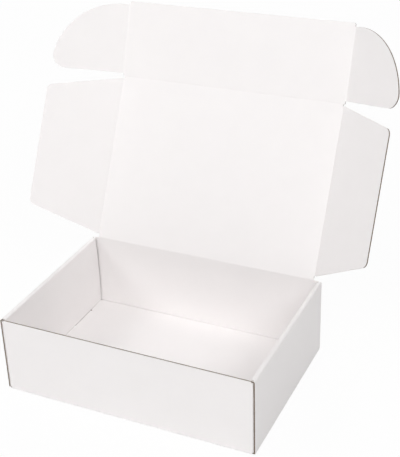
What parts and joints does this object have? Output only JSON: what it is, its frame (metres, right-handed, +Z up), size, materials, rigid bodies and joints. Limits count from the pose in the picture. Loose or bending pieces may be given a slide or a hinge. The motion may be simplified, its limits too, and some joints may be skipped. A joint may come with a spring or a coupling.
{
  "type": "corrugated mailer box",
  "caption": "Folded white corrugated mailer box with a hinged lid, two dust flaps, and a tuck flap with two rounded ears.",
  "frame": {"origin": "centre of the flat underside of the tray", "axes": "+X across the box to its right side as seen from the front, +Y from the front wall to the lid's hinge, +Z up"},
  "size_m": [0.5073, 0.3825, 0.4203],
  "materials": {
    "board": "matt white liners on both faces, brown fluted core at the cut edges"
  },
  "bodies": {
    "tray": {"tray": "board"},
    "lid": {"lid_panel": "board"},
    "left_crease": {"left_crease": "board"},
    "right_crease": {"right_crease": "board"},
    "left_dust_flap": {"left_dust_flap": "board"},
    "right_dust_flap": {"right_dust_flap": "board"},
    "tuck_flap": {"tuck_flap": "board"},
    "left_ear": {"left_ear": "board"},
    "right_ear": {"right_ear": "board"}
  },
  "joints": [
    {"name": "lid_hinge", "type": "hinge", "parent": "tray", "child": "lid", "pos_m": [0, 0.119, 0.1095], "axis": [-1, 0, 0], "range_deg": [-117, 63]},
    {"name": "left_crease_press", "type": "hinge", "parent": "lid", "child": "left_crease", "pos_m": [-0.165, 0.17251, 0.21453], "axis": [0, 0.454, 0.891], "range_deg": [-30.01, 16.16]},
    {"name": "right_crease_press", "type": "hinge", "parent": "lid", "child": "right_crease", "pos_m": [0.165, 0.17251, 0.21453], "axis": [0, -0.454, -0.891], "range_deg": [-40.01, 21.55]},
    {"name": "left_dust_flap_fold", "type": "hinge", "parent": "left_crease", "child": "left_dust_flap", "pos_m": [-0.165, 0.17251, 0.21453], "axis": [0, 0.454, 0.891], "range_deg": [-30, 90]},
    {"name": "right_dust_flap_fold", "type": "hinge", "parent": "right_crease", "child": "right_dust_flap", "pos_m": [0.165, 0.17251, 0.21453], "axis": [0, -0.454, -0.891], "range_deg": [-40, 90]},
    {"name": "tuck_fold", "type": "hinge", "parent": "lid", "child": "tuck_flap", "pos_m": [0, 0.22603, 0.31955], "axis": [1, 0, 0], "range_deg": [-7.5, 82.5]},
    {"name": "left_ear_fold", "type": "hinge", "parent": "tuck_flap", "child": "left_ear", "pos_m": [-0.16725, 0.24272, 0.36669], "axis": [0, 0.3338, 0.9426], "range_deg": [-5.65, 62.01]},
    {"name": "right_ear_fold", "type": "hinge", "parent": "tuck_flap", "child": "right_ear", "pos_m": [0.16725, 0.24272, 0.36669], "axis": [0, -0.3338, -0.9426], "range_deg": [-4.83, 53.01]}
  ],
  "couplings": [
    {"joint": "left_crease_press", "follows": "lid_hinge", "ratio": 0.25641},
    {"joint": "right_crease_press", "follows": "lid_hinge", "ratio": 0.34188},
    {"joint": "left_ear_fold", "follows": "tuck_fold", "ratio": 0.75152},
    {"joint": "right_ear_fold", "follows": "tuck_fold", "ratio": 0.64242}
  ]
}
